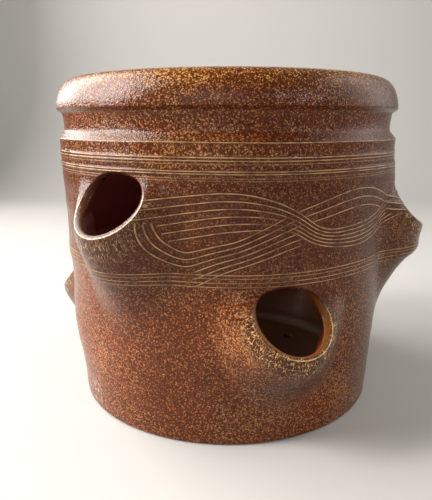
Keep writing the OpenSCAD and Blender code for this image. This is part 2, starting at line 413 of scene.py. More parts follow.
def fill_strip(shell, radius, p, edge, edge_turn, edge_z, steps, liner):
    """Rings of faces from a strip's edge to its pocket's rim. Returns the rim and its angles."""
    s = radius(edge_z) * np.sin(np.radians(edge_turn - p.turn))
    up = edge_z - p.z
    a = np.arctan2(up / np.where(up > 0, MOUTH_UP + BULGE_UP, bulge_below(p)),
                   s / (MOUTH_HALF_W + BULGE_SIDE))
    hole_s, hole_z = bulge_edge(p, a)
    hole_z = hole_z + p.z
    hole_turn = p.turn + np.degrees(np.arcsin(hole_s / radius(hole_z)))
    f = (np.arange(1, steps + 1) / steps)[:, None]
    ring_turn = (1 - f) * edge_turn + f * hole_turn
    ring_z = (1 - f) * edge_z + f * hole_z
    rings = shell.add_round(ring_turn, ring_z, radius(ring_z), liner=liner)
    shell.quads(np.concatenate([edge[None, :], rings]))
    return rings[-1], a


def side(shell, radius, columns, z, liner):
    """One face of the side, with a hole for each pocket. Returns its ends and the holes' rims."""
    turn = 360.0 * np.arange(columns) / columns
    grid = shell.add_round(turn[None, :], z[:, None], radius(z)[:, None], liner=liner)
    keep = np.ones((len(z) - 1, columns), bool)
    steps = max(3, int(STRIP_STEPS * columns / COLUMNS))
    rims = {}
    for name, p in POCKETS.items():
        low, high, first, last = strip(p, z, columns)
        keep[low:high, np.arange(first, last) % columns] = False
        row, col = strip_edge(low, high, first, last)
        edge, edge_turn = grid[row, col % columns], col * 360.0 / columns
        rims[name] = fill_strip(shell, radius, p, edge, edge_turn, z[row], steps, liner)
    after = np.roll(grid, -1, 1)
    cell = np.stack([grid[:-1], after[:-1], after[1:], grid[1:]], -1)
    shell.faces.append(cell[keep])
    return grid[0], grid[-1], rims


def make_wall():
    """The side, and the angles at which each pocket's rim has its points."""
    shell = Shell("wall_clay", "wall_stoneware")
    foot, seat, rims = side(shell, outside, COLUMNS, heights(), 0)
    liner_z = np.linspace(JOINT_Z, SEAT_Z, int((SEAT_Z - JOINT_Z) / COARSE))
    liner_foot, liner_seat, liner_rims = side(shell, inside, LINER_COLUMNS, liner_z, 1)
    around = np.arange(COLUMNS) * FULL / COLUMNS
    liner_around = np.arange(LINER_COLUMNS) * FULL / LINER_COLUMNS
    shell.bridge(foot, around, liner_foot, liner_around)
    shell.bridge(seat, around, liner_seat, liner_around)
    for name, (ring, a) in rims.items():
        shell.bridge(ring, a, *liner_rims[name])
    return shell, {name: a for name, (_, a) in rims.items()}


def distance(points, others):
    """Distances between points, given as their three coordinates."""
    return np.sqrt(sum((u - v) ** 2 for u, v in zip(points, others)))


def clay_and_highlight_line(p, a):
    """Strength of the pale line along a lip, pale clay with a painted highlight: on a bare lip's lower
    half, and right of a glazed one.
    """
    bare = 0.15 + 0.85 * ease((0.45 - np.sin(a)) / 0.5)
    glazed = ease((np.cos(a + np.pi / 6) - 0.1) / 0.4)
    return p.bare * bare + (1 - p.bare) * glazed


def lip_edge(p, a, tip, back):
    """The lip's rounded edge from its outer to its inner corner, and the way over it from the outer."""
    b = np.linspace(0, np.pi, LIP_ROWS + 2)[1:-1, None]
    rounding = -LIP_ROUND * np.sin(b) / np.hypot(*mouth_edge(p, a))
    inward = [rounding * m for m in (*mouth_edge(p, a), 0)]
    edge = [(u + v) / 2 + (u - v) / 2 * np.cos(b) + m for u, v, m in zip(tip, back, inward)]
    steps = [np.diff(np.concatenate([u, v]), axis=0) for u, v in zip(tip, edge)]
    return edge, np.cumsum(distance(steps, (0, 0, 0)), 0)


def make_pocket(name, a):
    """A pocket from its rim in the side, out over the lip and in to the side's inner face."""
    p = POCKETS[name]
    shell = Shell(name + "_clay", "pocket_stoneware")
    a = a[None, :]
    out_t = (np.linspace(1, 0, POCKET_ROWS) ** 1.1)[:, None]
    in_t = (np.linspace(0, 1, CUP_ROWS) ** 1.4)[:, None]
    near, brow, edged = flare(a), ease(1 - 2.5 * flare(a)), clay_and_highlight_line(p, a)

    # Distances from the lip and along it, for the streaks that run away from the lip
    skin, cup = pocket_point(p, a, out_t, False), pocket_point(p, a, in_t, True)
    tip, back = [v[-1:] for v in skin], [v[:1] for v in cup]
    away, deep = distance(skin, tip), distance(cup, back)
    step = distance([np.roll(v, -1, 1) for v in tip], tip)
    around = np.cumsum(step, 1) - step
    # The fingers that pushed the pocket out smoothed its underside
    pushed, under = ease((push(p, a, out_t) - 3) / 5), ease((-np.sin(a) - 0.5) / 0.25)
    outer = shell.add_pocket(p, skin, lip=near * np.exp(-away / STREAKED_OUT),
                             brow=brow * np.exp(-away / POOL_AND_SHADE_REACH), around=around, away=away,
                             smoothed=pushed * under * ease((WIPED - away) / 5), edged=edged)
    edge, over = lip_edge(p, a, tip, back)
    lip = shell.add_pocket(p, edge, lip=near, brow=brow, smoothed=1, around=around, away=-over,
                           edged=edged)
    liner = shell.add_pocket(p, cup, liner=1, lip=near * np.exp(-deep / STREAKED_IN), brow=brow,
                             smoothed=1, around=around, away=-over[-1] - deep, edged=edged)
    shell.facts["liner"][-1] = ease(deep / GLAZED_IN).ravel()
    rings = np.concatenate([outer, lip, liner])
    shell.quads(rings)
    shell.quads(rings[[-1, 0]], hidden=True)
    return shell


def revolve(shell, profile, **facts):
    """Adds a face of revolution through (radius, height) points."""
    turn = 360.0 * np.arange(COLUMNS) / COLUMNS
    r, z = np.array(profile).T
    grid = shell.add_round(turn[None, :], z[:, None], r[:, None], **facts)
    shell.quads(grid)
    return grid


def arc(r, z, wide, high, start, end, steps):
    """Points of an ellipse round (r, z), from angle start to angle end in degrees."""
    a = np.radians(np.linspace(start, end, steps + 1))
    return list(zip(r + wide * np.cos(a), z + high * np.sin(a)))


def line(start, end, steps):
    """Points from start to end, without the last."""
    return [tuple(u + (v - u) * i / steps for u, v in zip(start, end)) for i in range(steps)]


def make_collar():
    """The collar: its edge, swept face and crown, and its bore down to the seat."""
    shell = Shell("rim_collar_clay", "rim_stoneware")
    edge = arc(COLLAR_R - COLLAR_EDGE, COLLAR_LOW_Z, COLLAR_EDGE, COLLAR_EDGE, -UNDERCUT, 0, 4)
    under = line((float(outside(SEAT_Z)), SEAT_Z), edge[0], 4)
    swept = arc(CROWN_R, COLLAR_LOW_Z, CROWN_IN, POT_H - COLLAR_LOW_Z, 0, 90, 26)[1:]
    crown = arc(CROWN_R, POT_H - CROWN_ROUND, CROWN_ROUND, CROWN_ROUND, 90, 180, CROWN_STEPS)[1:]
    seat = (float(inside(SEAT_Z)), SEAT_Z)
    bore = line((CROWN_R - CROWN_ROUND, POT_H - CROWN_ROUND), seat, BORE_STEPS)[1:] + [seat]
    profile = under + edge + swept + crown + bore
    grid = revolve(shell, profile)
    # The liner's glaze starts on the crown
    liner = np.zeros(len(profile))
    liner[-len(bore):] = 1
    liner[-len(bore) - CROWN_STEPS:-len(bore)] = np.linspace(0, 1, CROWN_STEPS + 2)[1:-1]
    shell.facts["liner"][-1] = np.repeat(liner, COLUMNS)
    shell.quads(grid[[-1, 0]], hidden=True)
    return shell


def plate(shell, edge, rims):
    """A flat face inside the ring of points edge, with round holes whose rims are there already."""
    rings = [edge, *rims]
    numbers = np.concatenate(rings)
    owner = np.repeat(np.arange(len(rings)), [len(ring) for ring in rings])
    flat = [Vector(v) for v in np.concatenate(shell.points)[numbers, :2].tolist()]
    start, edges = 0, []
    for ring in rings:
        edges += [(start + i, start + (i + 1) % len(ring)) for i in range(len(ring))]
        start += len(ring)
    _, _, triangles, origins, _, _ = geometry.delaunay_2d_cdt(flat, edges, [], 1, 1e-6)
    corners = np.array([[origins[i][0] for i in triangle] for triangle in triangles])
    # A triangle that fills a hole has all its corners on the one rim
    a, b, c = owner[corners].T
    shell.faces.append(numbers[corners][(a == 0) | (a != b) | (b != c)])


def make_floor():
    """The floor with its rounded foot, the cove inside and the drains."""
    shell = Shell("floor_clay", "floor_stoneware")
    profile = [(float(taper(z)), z) for z in np.linspace(JOINT_Z, FOOT_ROUND, 9)]
    profile += arc(FOOT_R - FOOT_ROUND, FOOT_ROUND, FOOT_ROUND, FOOT_ROUND, 0, -90, 6)[1:]
    outer = revolve(shell, profile)
    cove_r = float(inside(JOINT_Z)) - COVE_R
    inner = revolve(shell, arc(cove_r, JOINT_Z, COVE_R, COVE_R, 0, -90, 8), liner=1)
    shell.quads(np.stack([outer[0], inner[0]]), hidden=True)
    ring = [np.radians(turn) for turn in DRAIN_TURNS]
    drains = [(0.0, 0.0, MIDDLE_DRAIN_R)]
    drains += [(DRAIN_RING_R * np.sin(a), -DRAIN_RING_R * np.cos(a), OUTER_DRAIN_R) for a in ring]
    low, top = DRAIN_ROUND, DRAIN_TOP_ROUND
    a = np.arange(DRAIN_CORNERS) * FULL / DRAIN_CORNERS
    grids = []
    for x, y, r in drains:
        edge = arc(r + low, low, low, low, -90, -180, 4) + arc(r + top, FLOOR_T - top, top, top, 180, 90, 4)
        er, ez = np.array(edge)[:, :, None].transpose(1, 0, 2)
        grids.append(shell.add(x + er * np.cos(a), y + er * np.sin(a), ez, liner=ease(ez / FLOOR_T),
                               height=ez))
        shell.quads(grids[-1])
    plate(shell, inner[-1], [grid[-1] for grid in grids])
    plate(shell, outer[-1], [grid[0] for grid in grids])
    return shell


# ---------------------------------------------------------------- combed lines and throwing marks
def smooth_path(control):
    """A smooth path through the control points, in mm along the side and up, with the comb's width."""
    c = np.array([(turn * ARC, z, wide) for turn, z, wide in control])
    c = np.concatenate([[2 * c[0] - c[1]], c, [2 * c[-1] - c[-2]]])
    t = np.linspace(0, 1, PATH_STEPS, endpoint=False)[:, None]
    parts = []
    for p0, p1, p2, p3 in zip(c, c[1:], c[2:], c[3:]):
        parts.append(0.5 * (2 * p1 + (p2 - p0) * t + (2 * p0 - 5 * p1 + 4 * p2 - p3) * t ** 2
                            + (3 * p1 - p0 - 3 * p2 + p3) * t ** 3))
    path = np.concatenate(parts + [c[-2:-1]])
    average = np.full(SMOOTHING, 1 / SMOOTHING)
    for _ in range(2):
        padded = np.pad(path, ((SMOOTHING // 2,) * 2, (0, 0)), mode="edge")
        path = np.stack([np.convolve(column, average, "valid") for column in padded.T], 1)
    return path


def comb(turn, z, control):
    """Offset from a comb stroke's middle, how deep the comb went, from 0 to 1, and how wide it goes."""
    path = smooth_path(control)
    first = control[0][0] - LEAD
    u = ((turn - first) % REPEAT + first) * ARC
    along = np.gradient(path[:, :2], axis=0)
    along /= np.linalg.norm(along, axis=1)[:, None]
    offset, depth, wide = np.full(len(u), FAR), np.zeros(len(u)), np.ones(len(u))
    near = np.flatnonzero((z > COMB_Z[0]) & (z < COMB_Z[1]))
    for part in np.array_split(near, max(1, len(near) // AT_ONCE)):
        gap_u, gap_z = u[part, None] - path[None, :, 0], z[part, None] - path[None, :, 1]
        k = np.argmin(gap_u ** 2 + gap_z ** 2, axis=1)
        row = np.arange(len(part))
        gap_u, gap_z = gap_u[row, k], gap_z[row, k]
        wide[part] = path[k, 2]
        offset[part] = (along[k, 0] * gap_z - along[k, 1] * gap_u) / wide[part]
        past = np.abs(along[k, 0] * gap_u + along[k, 1] * gap_z)
        at_end = (k == 0) | (k == len(path) - 1)
        depth[part] = ease(k / COMB_IN) * ease((len(path) - k) / COMB_OUT)
        depth[part] *= 1 - ease(np.where(at_end, past, 0) / END_FADE)
    depth *= 1 - ease((turn % 360 - PLAIN_SIDE[0]) / 8) * ease((PLAIN_SIDE[1] - turn % 360) / 4)
    depth *= 1 - ease((np.abs(offset) - TEETH * PITCH / 2 + 1) / 1.5)
    return np.clip(offset, -FAR, FAR), depth, wide


def lay_strokes(f):
    """Works out how deep each comb stroke is where the two meet."""
    turn = (f["turn"] + REPEAT / 2) % REPEAT - REPEAT / 2
    # Stroke A starts in a hook beside a pocket, over stroke B, and only its upper lines show
    # there and past the crossing, where B runs over it in a narrow bundle
    hook = ease((HOOK_END - turn) / 5)
    past = ease((turn - CROSSED[0]) / 5) * ease((CROSSED[1] - turn) / 6)
    upper = ease((f["comb_a"] + 2) / 3)
    f["depth_a"] *= 1 - np.maximum(hook, past) * (1 - upper)
    f["depth_b"] *= 1 - hook * ease(f["depth_a"] / 0.3)
    under = ease((turn - UNDER[0]) / 4) * ease((UNDER[1] - turn) / 4)
    f["depth_b"] *= 1 - 0.75 * under * ease((4 - f["comb_b"]) / 3)
    f["depth_a"] *= (1 - 0.9 * f["depth_b"] * (1 - hook)) * f["kept"]
    f["depth_b"] *= f["kept"]


def tooth(offset):
    """Height of a comb's narrow ridges, 1 on a ridge."""
    near = offset % PITCH - PITCH / 2
    return np.exp(-(near / TOOTH_HALF) ** 2)


def relief(f):
    """Height of the comb's, the turned lines' and the throwing marks, in mm."""
    turn, z = f["turn"], f["height"]
    out = waves(turn, z, THROWN_OUTSIDE)
    for key in ("b", "a"):
        out += RIDGE_H * f["depth_" + key] * (tooth(f["comb_" + key]) - GROOVE_SHARE)
    for height, strength in RINGS:
        out += RIDGE_H * strength * f["kept"] * np.exp(-((f["ring"] - height) / RING_HALF) ** 2)
    out *= 1 - ease(f["lip"] / 0.5)
    marks = waves(turn, z, THROWN_INSIDE) * ease((POT_H - 6 - z) / 10)
    return (1 - f["liner"]) * out + f["liner"] * marks


def add_facts(f):
    """Adds what the relief and the glaze need to know at each point, from where the point is."""
    turn, z = f["turn"], f["height"]
    f["comb_a"], f["depth_a"], f["wide_a"] = comb(turn, z, STROKE_A)
    f["comb_b"], f["depth_b"], f["wide_b"] = comb(turn, z, STROKE_B)
    f["kept"] = 1 - f["smoothed"]
    lay_strokes(f)
    f["ring"] = z + waves(turn, z, RING_WANDER)
    f["scuff"] = hills(turn, z, SCUFFS) * (1 - f["liner"])
    # Orange flush, partly painted light on the left side
    flush_and_light = hills(turn, z, ORANGE_FLASH_AND_LIGHT_SPOTS) + ORANGE_FOOT * ease((70 - z) / 50)
    gold = hills(turn, z, GOLD_SPOTS) + GOLD_CROWN * ease((z - POT_H + 15) / 12)
    # Grey, partly painted shade under the pockets and on the right side
    sides = ease((turn % 360 - GREY_AND_SHADE_TURNS[0]) / 25) * ease((GREY_AND_SHADE_TURNS[1] - turn % 360) / 40)
    grey_and_shade = hills(turn, z, GREY_AND_SHADE_SPOTS) + GREY_AND_SHADE_SIDE * sides
    f["flush_and_light"], f["gold"], f["grey_and_shade"] = np.minimum(flush_and_light, 1), np.minimum(gold, 1), np.minimum(grey_and_shade, 1)


# ---------------------------------------------------------------- from shells to objects
def shared_normals(shells, points):
    """Normals that run on across the joints between pieces, from all their visible faces."""
    rounded = np.round(np.concatenate(points) * WELD).astype(np.int64)
    _, same = np.unique(rounded, axis=0, return_inverse=True)
    same = same.ravel()
    total = np.zeros((same.max() + 1, 3))
    start = 0
    for shell, pts in zip(shells, points):
        for block in shell.faces:
            a, b, c, d = (pts[block[:, i]] for i in (0, 1, 2, -1))
            n = np.cross(c - a, d - b) if block.shape[1] == 4 else np.cross(b - a, c - a)
            for corner in range(block.shape[1]):
                where = same[start + block[:, corner]]
                for axis in range(3):
                    total[:, axis] += np.bincount(where, n[:, axis], len(total))
        start += len(pts)
    total /= np.maximum(np.linalg.norm(total, axis=1), 1e-12)[:, None]
    return np.split(total[same], np.cumsum([len(p) for p in points])[:-1])


def turn_faces_out(shell, pts):
    """Makes every face of a closed piece wind the same way, outwards, and reports open edges."""
    blocks = shell.faces + shell.hidden
    mesh = bpy.data.meshes.new("wind")
    mesh.from_pydata(pts.tolist(), [], [face for block in blocks for face in block.tolist()])
    bm = bmesh.new()
    bm.from_mesh(mesh)
    bad = [e for e in bm.edges if len(e.link_faces) != 2]
    if bad:
        print("OPEN", shell.name, len(bad), [tuple(e.verts[0].co) for e in bad[:4]])
    before = [[v.index for v in face.verts][:2] for face in bm.faces]
    bmesh.ops.recalc_face_normals(bm, faces=bm.faces)
    after = [[v.index for v in face.verts][:2] for face in bm.faces]
    flipped = np.array([old != new for old, new in zip(before, after)])
    bm.free()
    bpy.data.meshes.remove(mesh)
    start = 0
    for block in blocks:
        flip = flipped[start:start + len(block)]
        start += len(block)
        block[flip] = block[flip][:, ::-1]


def make_object(shell, pts, facts, normals):
    """A piece's object, with smooth normals on its skin and flat ones on its hidden joints."""
    skin = [face for block in shell.faces for face in block.tolist()]
    caps = [face for block in shell.hidden for face in block.tolist()]
    mesh = bpy.data.meshes.new(shell.name)
    mesh.from_pydata((pts * MM).tolist(), [], skin + caps)
    mesh.polygons.foreach_set("use_smooth", np.ones(len(mesh.polygons), bool))
    corners = np.zeros(len(mesh.loops), np.int64)
    mesh.loops.foreach_get("vertex_index", corners)
    flat = np.zeros(len(mesh.polygons) * 3)
    mesh.polygons.foreach_get("normal", flat)
    sizes = np.zeros(len(mesh.polygons), np.int64)
    mesh.polygons.foreach_get("loop_total", sizes)
    loop_normals = normals[corners]
    first_cap = sum(len(face) for face in skin)
    loop_normals[first_cap:] = np.repeat(flat.reshape(-1, 3), sizes, axis=0)[first_cap:]
    mesh.normals_split_custom_set(loop_normals.tolist())
    for name, values in facts.items():
        if name not in ("turn", "height", "smoothed"):
            attribute = mesh.attributes.new(name, "FLOAT", "POINT")
            attribute.data.foreach_set("value", values.astype(np.float32))
    obj = bpy.data.objects.new(shell.name, mesh)
    bpy.context.scene.collection.objects.link(obj)
    return obj


def build(shells):
    points = [np.concatenate(s.points) for s in shells]
    facts = [{k: np.concatenate(v) for k, v in s.facts.items()} for s in shells]
    for shell, pts in zip(shells, points):
        turn_faces_out(shell, pts)
    low, high = (np.array(corner) / MM for corner in cad_box)
    for pts, f, n in zip(points, facts, shared_normals(shells, points)):
        add_facts(f)
        pts += n * relief(f)[:, None]
        np.clip(pts, low, high, out=pts)
    return [make_object(*piece) for piece in zip(shells, points, facts, shared_normals(shells, points))]


# ---------------------------------------------------------------- materials
RED_CLAY = (0.160, 0.033, 0.006)
BROWN_CLAY = (0.115, 0.032, 0.007)
ORANGE_FLASH_AND_LIGHT = (0.32, 0.078, 0.012)
PURPLE_AND_SHADE = (0.080, 0.033, 0.018)
GOLD_CLAY = (0.20, 0.075, 0.010)
# Darker bands, and painted shade over the combed zone
DARK_BAND_AND_SHADE = (0.088, 0.020, 0.005)
DARK_PIT = (0.030, 0.007, 0.002)
TAN_FLECK = (0.50, 0.25, 0.115)
GREY_FLECK = (0.33, 0.19, 0.095)
GOLD_FLECK = (0.58, 0.27, 0.070)
# Painted shade in the grooves beside the drawn lines
GROOVE_SHADE = (0.050, 0.015, 0.006)
# Pale ridges, and the painted highlight on the shoulder ridge
PALE_RIDGE_AND_HIGHLIGHT = (0.56, 0.31, 0.13)
LINER_RED = (0.085, 0.005, 0.002)
LINER_OLIVE = (0.043, 0.013, 0.0025)
# Pooled glaze and painted shade over each mouth
POOL_AND_SHADE_RED = (0.060, 0.010, 0.004)
IRON_SPOT = (0.012, 0.008, 0.006)
SCUFF = (0.42, 0.30, 0.24)
# Round a glazed lip, and round a bare one. The pale edge line carries a painted highlight, and the bare cut
# face is darkened as painted shade
EDGE_CLAY_AND_HIGHLIGHT = ((0.80, 0.50, 0.22), (0.92, 0.70, 0.54))
CUT_FACES_AND_SHADE = ((0.21, 0.062, 0.010), (0.075, 0.022, 0.009))
STREAKED = ((0.050, 0.014, 0.004), (0.080, 0.034, 0.020))
STREAKS = ((0.78, 0.42, 0.15), (0.42, 0.27, 0.14))

# Scales of the patterns, for each metre of the pot
PATCH_SCALE = 28.0          # of redder and browner clay
CLOUD_SCALE = 8.0
DROP_SCALE = 820.0          # of the salt's orange peel
BEND_SCALE = 480.0          # of the noise that bends the drops
BEND = 0.0023               # how far it bends them, in metres
SPOT_SCALE = 42.0           # of iron spots
WEAR_SCALE = 110.0          # of the wear on the drawn lines
SCUFF_SCALE = 260.0
WANDER_SCALE = 160.0        # of the streaks' wander
BREAK_SCALE = 300.0         # of the breaks in them
# Scales for each mm
BAND_SCALE = 0.28           # of dark bands round the pot
STREAK_SCALE = 0.62
LINE_FADE = (0.15, 0.48)    # mm from a ridge's middle over which its pale line fades
COMB_GROOVE = (0.6, 1.5)    # and over which the painted shade beside it fades
RING_GROOVE = (0.5, 1.2)
# The middle of a noise's range, narrow and wide
NARROW = (0.35, 0.65)
WIDE = (0.3, 0.7)


class Graph:
    """Short calls for building a material's nodes."""

    def __init__(self, name):
        self.material = bpy.data.materials.new(name)
        self.material.use_nodes = True
        self.nodes, self.links = self.material.node_tree.nodes, self.material.node_tree.links
        self.shader = self.nodes["Principled BSDF"]
        self.facts = {}

    def plug(self, socket, value):
        if isinstance(value, bpy.types.NodeSocket):
            self.links.new(value, socket)
        else:
            socket.default_value = value

    def add(self, kind, out=0, **values):
        node = self.nodes.new(kind)
        for k, v in values.items():
            self.plug(node.inputs[k], v)
        return node.outputs[out]

    def math(self, operation, *values):
        node = self.nodes.new("ShaderNodeMath")
        node.operation = operation
        for socket, value in zip(node.inputs, values):
            self.plug(socket, value)
        return node.outputs[0]

    def chain(self, operation, values):
        total = values[0]
        for value in values[1:]:
            total = self.math(operation, total, value)
        return total

    def times(self, *values):
        return self.chain("MULTIPLY", values)

    def plus(self, *values):
        return self.chain("ADD", values)

    def most(self, *values):
        return self.chain("MAXIMUM", values)

    def less(self, value):
        """What value leaves of 1."""
        return self.math("SUBTRACT", 1.0, value)

    def fade(self, value, low, high, to_low=0.0, to_high=1.0):
        """value brought from low..high to to_low..to_high, smoothly."""
        node = self.nodes.new("ShaderNodeMapRange")
        node.interpolation_type = "SMOOTHSTEP"
        for socket, v in zip(node.inputs, (value, low, high, to_low, to_high)):
            self.plug(socket, v)
        return node.outputs[0]

    def mix(self, share, a, b):
        node = self.nodes.new("ShaderNodeMix")
        node.data_type = "RGBA"
        self.plug(node.inputs[0], share)
        for socket, colour in ((node.inputs[6], a), (node.inputs[7], b)):
            self.plug(socket, colour if isinstance(colour, bpy.types.NodeSocket) else (*colour, 1))
        return node.outputs[2]

    def noise(self, vector, scale, detail, rough, out=0):
        return self.add("ShaderNodeTexNoise", out, Vector=vector, Scale=scale, Detail=detail,
                        Roughness=rough)

    def cells(self, vector, scale):
        """Distance from the nearest cell's middle, and a number of that cell's own, from 0 to 1."""
        node = self.nodes.new("ShaderNodeTexVoronoi")
        self.plug(node.inputs["Vector"], vector)
        self.plug(node.inputs["Scale"], scale)
        return node.outputs["Distance"], self.add("ShaderNodeSeparateColor", Color=node.outputs["Color"])

    def fact(self, name):
        """What a piece's points know by this name."""
        if name not in self.facts:
            node = self.nodes.new("ShaderNodeAttribute")
            node.attribute_name = name
            self.facts[name] = node.outputs[2]
        return self.facts[name]

    def by_bare(self, glazed, bare):
        """A number between those of a glazed and a bare lip."""
        return self.fade(self.fact("bare"), 0.0, 1.0, glazed, bare)


def clay(g, patch, cloud):
    """The clay under the glaze: red-brown, with purple, orange and gold where the kiln flashed it. The
    orange also paints light on the left, and the purple paints shade under the pockets and on the right.
    """
    colour = g.mix(g.fade(patch, *NARROW), RED_CLAY, BROWN_CLAY)
    colour = g.mix(g.times(g.fact("flush_and_light"), 0.75), colour, ORANGE_FLASH_AND_LIGHT)
    colour = g.mix(g.times(g.fact("grey_and_shade"), g.fade(cloud, *WIDE, 0.55, 0.95)), colour, PURPLE_AND_SHADE)
    return g.mix(g.times(g.fact("gold"), g.fade(patch, *NARROW, 0.35, 0.8)), colour, GOLD_CLAY)


def orange_peel(g, where, patch, cloud, band):
    """The salt's orange peel: its height, and where its pale drops and dark pits are."""
    bent = g.nodes.new("ShaderNodeVectorMath")
    bent.operation = "MULTIPLY_ADD"
    bend = g.noise(where, BEND_SCALE, 1.0, 0.5, out=1)
    for socket, value in zip(bent.inputs, (bend, (BEND,) * 3, where)):
        g.plug(socket, value)
    away, drop_size = g.cells(bent.outputs[0], DROP_SCALE)
    peel = g.less(away)
    dense = g.plus(g.fade(patch, *WIDE, -0.05, 0.05), g.fade(cloud, *NARROW, -0.04, 0.04),
                   g.times(g.fact("gold"), 0.08), g.fade(drop_size, 0.0, 1.0, -0.20, 0.08), peel,
                   g.fade(band, *WIDE, -0.03, 0.03))
    return peel, g.fade(dense, 0.58, 0.80), g.fade(dense, 0.50, 0.34)


def lip_streaks(g, where):
    """Thin broken streaks that run away from the lips, and how near a lip is."""
    wander = g.fade(g.noise(where, WANDER_SCALE, 1.0, 0.5), *WIDE, -0.6, 0.6)
    run = g.add("ShaderNodeCombineXYZ", X=g.plus(g.fact("around"), wander),
                Y=g.times(g.fact("away"), g.by_bare(0.45, 0.25)))
    middle = g.math("SUBTRACT", g.noise(run, STREAK_SCALE, 1.0, 0.5), 0.5)
    streak = g.fade(g.math("ABSOLUTE", middle), 0.008, g.by_bare(0.044, 0.034), 1, 0)
    broken = g.fade(g.noise(where, BREAK_SCALE, 2.0, 0.6), 0.38, 0.55, 0.15, 0.85)
    drawn = g.fade(g.fact("lip"), 0.10, 0.40)
    return g.times(streak, drawn, broken), drawn


def salt_glaze(g, where):
    """The outer glaze without its drawn lines: its colour, the peel's height and the pale flecks."""
    patch, cloud = g.noise(where, PATCH_SCALE, 3.0, 0.6), g.noise(where, CLOUD_SCALE, 2.0, 0.5)
    band = g.noise(g.add("ShaderNodeCombineXYZ", Z=g.fact("ring")), BAND_SCALE, 2.0, 0.6)
    peel, fleck, pit = orange_peel(g, where, patch, cloud, band)
    bare, gold, flush_and_light = g.fact("bare"), g.fact("gold"), g.fact("flush_and_light")

    # Darker in bands, and where the side is combed: there partly a darker clay, partly painted shade, less
    # on the left where the orange flush paints light
    combed = g.times(g.fade(g.fact("ring"), 115, 128), g.fade(g.fact("ring"), 200, 184))
    band_and_shade = g.times(combed, g.fade(flush_and_light, 0.0, 0.7, 0.7, 0.25))
    band_and_shade = g.most(g.fade(band, 0.35, 0.7, 0.0, 0.5), band_and_shade)
    colour = g.mix(band_and_shade, clay(g, patch, cloud), DARK_BAND_AND_SHADE)

    # Pits and flecks, and near a lip streaks in their place
    streak, drawn = lip_streaks(g, where)
    colour = g.mix(g.times(drawn, g.by_bare(0.9, 0.7)), colour, g.mix(bare, *STREAKED))
    colour = g.mix(g.times(pit, 0.7), colour, DARK_PIT)
    fleck = g.times(fleck, g.less(g.most(drawn, g.times(combed, 0.25))))
    tan = g.mix(g.most(g.fact("grey_and_shade"), g.times(combed, 0.6)), TAN_FLECK, GREY_FLECK)
    tan = g.mix(gold, tan, GOLD_FLECK)
    strong = g.fade(g.most(gold, g.times(flush_and_light, 0.6)), 0.0, 0.8, 0.50, 0.88)
    colour = g.mix(g.times(fleck, strong), colour, tan)
    colour = g.mix(streak, colour, g.mix(bare, *STREAKS))

    # An iron spot in about one of four large cells, and a worn patch near the foot
    away, picked = g.cells(where, SPOT_SCALE)
    spot = g.times(g.fade(away, 0.02, 0.055, 1, 0), g.fade(picked, 0.72, 0.74))
    colour = g.mix(spot, colour, IRON_SPOT)
    worn = g.times(g.fact("scuff"), g.fade(g.noise(where, SCUFF_SCALE, 2.0, 0.6), 0.5, 0.62))
    colour = g.mix(worn, colour, SCUFF)
    # Dark red over each mouth: pooled glaze and painted shade
    return g.mix(g.times(g.fact("brow"), 0.75), colour, POOL_AND_SHADE_RED), peel, fleck


def drawn_lines(g, where):
    """Combed and turned lines: how pale their thin ridges are, and how strong the painted shade in the
    grooves beside them is.
    """
    pale, groove_shade = [], []
    for key in ("a", "b"):
        # The ridges lie half a pitch off a stroke's middle; forty pitches more keep this above 0
        offset = g.plus(g.fact("comb_" + key), 40.5 * PITCH)
        near = g.times(g.math("PINGPONG", offset, PITCH / 2), g.fact("wide_" + key))
        pale.append(g.times(g.fade(near, *LINE_FADE, 1, 0), g.fact("depth_" + key)))
        groove_shade.append(g.times(g.fade(near, *COMB_GROOVE, 1, 0.15), g.fact("depth_" + key)))
    for height, strength in RINGS:
        near = g.math("ABSOLUTE", g.math("SUBTRACT", g.fact("ring"), height))
        pale.append(g.fade(near, *LINE_FADE, strength, 0))
        groove_shade.append(g.fade(near, *RING_GROOVE, strength, 0))
    wear = g.fade(g.noise(where, WEAR_SCALE, 3.0, 0.65), 0.32, 0.6, 0.30, 1.0)
    outer = g.times(g.fade(g.fact("away"), -LIP_T, 1 - LIP_T), g.less(g.fact("liner")), g.fact("kept"))
    return g.times(g.most(*pale), wear, outer), g.times(g.most(*groove_shade), outer)


def lip_glaze(g, colour, peel, fleck):
    """The lip's own face, darkened as painted shade where bare, and the thin line along its edge where the
    clay shows through, with a painted highlight on it.
    """
    bare, away = g.fact("bare"), g.fact("away")
    # The cut face; the bare one's dark colour is painted shade
    cut = g.times(g.fade(away, -0.8, -2.5), g.less(g.fact("liner")),
                  g.fade(fleck, 0.0, 1.0, 0.92, g.by_bare(0.2, 0.6)))
    colour = g.mix(cut, colour, g.mix(bare, *CUT_FACES_AND_SHADE))
    # Pale line along the edge: clay showing through, with a painted highlight where the rounded lip catches
    # the light
    edge = g.times(g.fade(g.math("ABSOLUTE", g.plus(away, 0.2)), 0.2, 0.6, 1, 0),
                   g.fade(g.fact("lip"), 0.05, 0.3), g.fade(peel, 0.2, 0.8, 0.4, 1.0), g.fact("edged"))
    return g.mix(edge, colour, g.mix(bare, *EDGE_CLAY_AND_HIGHLIGHT))


